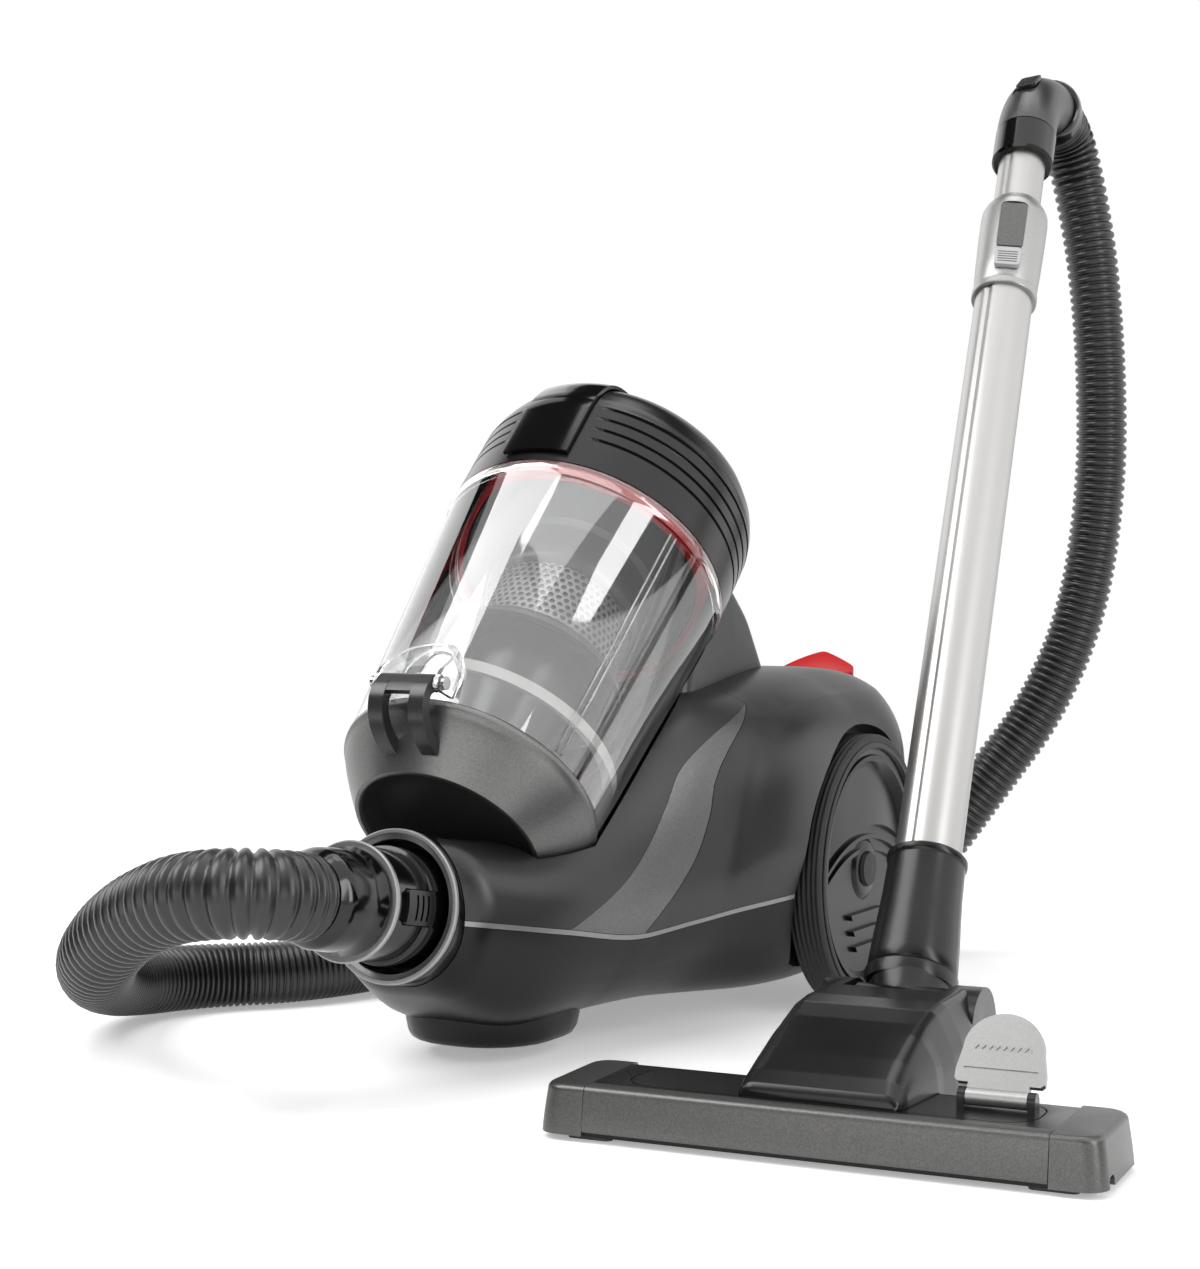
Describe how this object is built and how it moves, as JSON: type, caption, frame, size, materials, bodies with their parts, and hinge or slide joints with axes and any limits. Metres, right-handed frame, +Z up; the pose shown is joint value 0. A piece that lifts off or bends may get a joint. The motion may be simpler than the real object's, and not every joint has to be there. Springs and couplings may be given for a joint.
{
  "type": "canister vacuum cleaner",
  "caption": "Rolling canister vacuum cleaner with a lift-off clear dust cup, stretch hose, telescopic wand and a floor head with a foot pedal.",
  "frame": {"origin": "middle of the bounding box on the floor, the hose left out", "axes": "+Z up, -Y towards the front of the canister, +X from the canister to the wand and floor head"},
  "size_m": [0.6384, 0.7123, 0.5948],
  "materials": {
    "base_dark": "moulded",
    "shell_grey": "satin",
    "silver_trim": "satin",
    "gloss_black": "gloss",
    "metallic_grey": "satin",
    "hose_grey": "ribbed",
    "clear_plastic": "clear",
    "red_plastic": "gloss",
    "inner_grey": "satin",
    "filter_paper": "pleated",
    "white_plastic": "satin",
    "tyre_rubber": "matte",
    "steel": "brushed",
    "chrome_tube": "polished",
    "felt": "felt",
    "bristle": "bristle"
  },
  "bodies": {
    "canister": {"chassis_base": "base_dark", "seam_trim": "silver_trim", "front_housing": "shell_grey", "side_trim_right": "gloss_black", "side_trim_left": "gloss_black", "rear_hood": "shell_grey", "inlet_collar": "base_dark", "inlet_ring": "silver_trim", "hose_connector": "base_dark", "inlet_cuff": "base_dark", "stretch_hose": "hose_grey", "stub_axles": "steel", "motor_can": "steel", "outer_tube": "chrome_tube", "wand_collar": "silver_trim", "neck_sleeve": "base_dark"},
    "dust_cup": {"dust_cup": "clear_plastic", "cup_cap": "shell_grey", "carry_handle": "gloss_black", "cup_ring": "red_plastic", "shroud": "inner_grey", "cyclone_cone": "inner_grey", "pleated_filter": "filter_paper", "baffle_ring": "white_plastic", "door_pin": "steel"},
    "cup_door": {"cup_door": "metallic_grey"},
    "cup_catch": {"cup_catch": "red_plastic"},
    "wheel_right": {"wheel_right": "gloss_black", "tyre_right": "tyre_rubber"},
    "wheel_left": {"wheel_left": "gloss_black", "tyre_left": "tyre_rubber"},
    "caster_fork": {"caster_fork": "base_dark", "caster_pin": "steel"},
    "caster_wheel": {"caster_wheel": "tyre_rubber"},
    "power_pedal": {"power_pedal": "red_plastic"},
    "rewind_pedal": {"rewind_pedal": "red_plastic"},
    "connector_latch": {"connector_latch": "base_dark"},
    "motor_fan": {"motor_fan": "white_plastic"},
    "cord_reel": {"cord_reel": "white_plastic"},
    "handle": {"inner_tube": "chrome_tube", "handle_cuff": "base_dark", "grip_right": "metallic_grey", "grip_left": "metallic_grey", "hose_swivel": "base_dark"},
    "suction_slider": {"suction_slider": "base_dark"},
    "collar_button": {"collar_button": "inner_grey"},
    "neck": {"neck_elbow": "base_dark", "pitch_pins": "steel"},
    "floor_head": {"head_sole": "base_dark", "glide_pads": "felt", "bumper": "metallic_grey", "end_cap_right": "metallic_grey", "end_cap_left": "metallic_grey", "top_plate": "shell_grey", "head_hump": "shell_grey", "pedal_pin": "steel"},
    "foot_pedal": {"foot_pedal": "metallic_grey"},
    "brush_strip": {"brush_strip": "bristle"},
    "roller_right": {"roller_right": "tyre_rubber"},
    "roller_left": {"roller_left": "tyre_rubber"}
  },
  "joints": [
    {"name": "wheel_right_turn", "type": "hinge", "parent": "canister", "child": "wheel_right", "pos_m": [-0.01, 0.1044, 0.0829], "axis": [1, 0, 0], "continuous": true},
    {"name": "wheel_left_turn", "type": "hinge", "parent": "canister", "child": "wheel_left", "pos_m": [-0.25, 0.1044, 0.0829], "axis": [1, 0, 0], "continuous": true},
    {"name": "caster_swivel", "type": "hinge", "parent": "canister", "child": "caster_fork", "pos_m": [-0.13, -0.107, 0.034], "axis": [0, 0, 1], "continuous": true},
    {"name": "caster_turn", "type": "hinge", "parent": "caster_fork", "child": "caster_wheel", "pos_m": [-0.13, -0.1, 0.012], "axis": [1, 0, 0], "continuous": true},
    {"name": "cup_lift", "type": "slide", "parent": "canister", "child": "dust_cup", "axis": [0, 0.7159, 0.6982], "range_m": [0, 0.23]},
    {"name": "cup_door_hinge", "type": "hinge", "parent": "dust_cup", "child": "cup_door", "pos_m": [-0.13, -0.20829, 0.20661], "axis": [-1, 0, 0], "range_deg": [0, 70]},
    {"name": "power_pedal_press", "type": "slide", "parent": "canister", "child": "power_pedal", "axis": [0, 0, -1], "range_m": [0, 0.004], "stiffness_N_per_m": 400, "springref_m": -0.003},
    {"name": "rewind_pedal_press", "type": "slide", "parent": "canister", "child": "rewind_pedal", "axis": [0, 0, -1], "range_m": [0, 0.004], "stiffness_N_per_m": 400, "springref_m": -0.003},
    {"name": "cup_catch_press", "type": "slide", "parent": "canister", "child": "cup_catch", "axis": [0, 0.6982, -0.7159], "range_m": [0, 0.003], "stiffness_N_per_m": 300, "springref_m": -0.002},
    {"name": "connector_latch_press", "type": "slide", "parent": "canister", "child": "connector_latch", "axis": [-1, 0, 0], "range_m": [0, 0.0015], "stiffness_N_per_m": 300, "springref_m": -0.002},
    {"name": "telescope", "type": "slide", "parent": "canister", "child": "handle", "axis": [-0.0942, 0.5694, 0.8166], "range_m": [0, 0.22], "deforming": ["stretch_hose"]},
    {"name": "suction_slide", "type": "slide", "parent": "handle", "child": "suction_slider", "axis": [0.0642, -0.8886, -0.4542], "range_m": [0, 0.008]},
    {"name": "collar_button_press", "type": "slide", "parent": "canister", "child": "collar_button", "axis": [-0.0942, 0.5694, 0.8166], "range_m": [0, 0.003], "stiffness_N_per_m": 200, "springref_m": -0.001},
    {"name": "neck_twist", "type": "hinge", "parent": "canister", "child": "neck", "pos_m": [0.1113, -0.11053, 0.0578], "axis": [-0.0942, 0.5694, 0.8166], "range_deg": [-20, 60]},
    {"name": "head_pitch", "type": "hinge", "parent": "neck", "child": "floor_head", "pos_m": [0.11857, -0.13794, 0.038], "axis": [0.9977, 0.068, 0], "range_deg": [-30, 30]},
    {"name": "foot_pedal_press", "type": "hinge", "parent": "floor_head", "child": "foot_pedal", "pos_m": [0.20147, -0.23653, 0.0298], "axis": [-0.9977, -0.068, 0], "range_deg": [0, 18], "stiffness_Nm_per_rad": 0.08, "springref_deg": -17.19},
    {"name": "brush_drop", "type": "slide", "parent": "floor_head", "child": "brush_strip", "axis": [0, 0, -1], "range_m": [0, 0.005]},
    {"name": "roller_right_turn", "type": "hinge", "parent": "floor_head", "child": "roller_right", "pos_m": [0.17652, -0.22349, 0.007], "axis": [0.9977, 0.068, 0], "continuous": true},
    {"name": "roller_left_turn", "type": "hinge", "parent": "floor_head", "child": "roller_left", "pos_m": [0.07276, -0.23057, 0.007], "axis": [0.9977, 0.068, 0], "continuous": true},
    {"name": "fan_spin", "type": "hinge", "parent": "canister", "child": "motor_fan", "pos_m": [-0.152, 0.101, 0.086], "axis": [1, 0, 0], "continuous": true},
    {"name": "reel_spin", "type": "hinge", "parent": "canister", "child": "cord_reel", "pos_m": [-0.202, 0.127, 0.118], "axis": [1, 0, 0], "continuous": true}
  ],
  "couplings": [
    {"joint": "cup_door_hinge", "follows": "cup_lift", "rad_per_m": 5.3},
    {"joint": "brush_drop", "follows": "foot_pedal_press", "m_per_rad": 0.0159}
  ]
}
